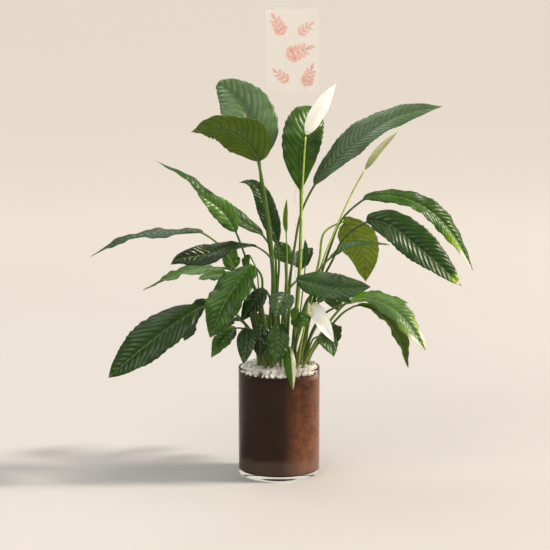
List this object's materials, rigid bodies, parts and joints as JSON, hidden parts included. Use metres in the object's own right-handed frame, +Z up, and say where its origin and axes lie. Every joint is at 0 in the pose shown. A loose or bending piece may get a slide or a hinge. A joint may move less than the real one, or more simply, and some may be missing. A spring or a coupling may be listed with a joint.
{
  "type": "potted peace lily",
  "caption": "Peace lily with broad arching leaves and white hooded flowers, growing in a clear glass cylinder vase filled with soil and topped with white pebbles.",
  "frame": {"origin": "centre of the vase's flat underside, on the surface it stands on", "axes": "+Z up the vase; -Y is the plant's front; +X to its right"},
  "size_m": [0.717, 0.3277, 0.855],
  "materials": {
    "vase_glass": "clear polished glass",
    "potting_soil": "moist dark peat compost",
    "white_pebbles": "matt white quartz chips",
    "clear_sheet": "clear acrylic sheet with a pale pink print",
    "mature_leaf": "waxy dark green leaf, semi-gloss",
    "young_leaf": "thin lime green leaf, semi-gloss",
    "flower_stalk": "smooth pale green stalk",
    "white_spathe": "soft white spathe, satin",
    "young_spathe": "pale yellow green spathe, satin",
    "spadix": "matt knobbly cream spadix"
  },
  "bodies": {
    "root": {"glass_vase": "vase_glass", "soil": "potting_soil", "pebble_layer": "white_pebbles", "clear_topper": "clear_sheet", "leaf_top_back_left": "mature_leaf", "leaf_top_front_left": "mature_leaf", "leaf_top_centre": "mature_leaf", "leaf_top_right": "mature_leaf", "leaf_upright_back": "mature_leaf", "leaf_right_arching": "mature_leaf", "leaf_right_broad": "mature_leaf", "leaf_right_back_hanging": "young_leaf", "leaf_right_back_level": "mature_leaf", "leaf_centre_right": "mature_leaf", "leaf_centre_right_under": "mature_leaf", "leaf_right_low_gloss": "mature_leaf", "leaf_right_low_behind": "mature_leaf", "leaf_right_low_hanging": "mature_leaf", "leaf_far_left": "mature_leaf", "leaf_left_second": "mature_leaf", "leaf_left_twisted": "mature_leaf", "leaf_left_lime": "young_leaf", "leaf_left_olive": "young_leaf", "leaf_left_olive_short": "young_leaf", "leaf_left_gloss": "mature_leaf", "leaf_left_large": "mature_leaf", "leaf_left_large_behind": "mature_leaf", "leaf_left_tip_up": "young_leaf", "leaf_left_hooked": "young_leaf", "leaf_front_left_low": "mature_leaf", "leaf_front_left_dark": "mature_leaf", "leaf_front_centre_left": "mature_leaf", "leaf_front_centre": "mature_leaf", "leaf_front_dark": "mature_leaf", "leaf_front_grey_sheen": "mature_leaf", "leaf_over_rim": "young_leaf", "leaf_front_right_small": "mature_leaf", "leaf_centre_lime_small": "young_leaf", "leaf_centre_olive": "young_leaf", "leaf_centre_bright": "young_leaf", "leaf_centre_narrow": "young_leaf", "leaf_centre_back": "mature_leaf", "leaf_back_tall": "mature_leaf", "leaf_back_left": "mature_leaf", "leaf_back_right": "mature_leaf", "leaf_back_low": "mature_leaf", "leaf_back_low_right": "mature_leaf", "leaf_back_low_left": "mature_leaf", "flower_stalk_1": "flower_stalk", "spathe_1": "white_spathe", "spadix_1": "spadix", "flower_stalk_2": "flower_stalk", "spathe_2": "young_spathe", "flower_stalk_3": "flower_stalk", "spathe_3": "white_spathe", "spadix_3": "spadix", "flower_bud": "young_leaf"}
  },
  "joints": []
}
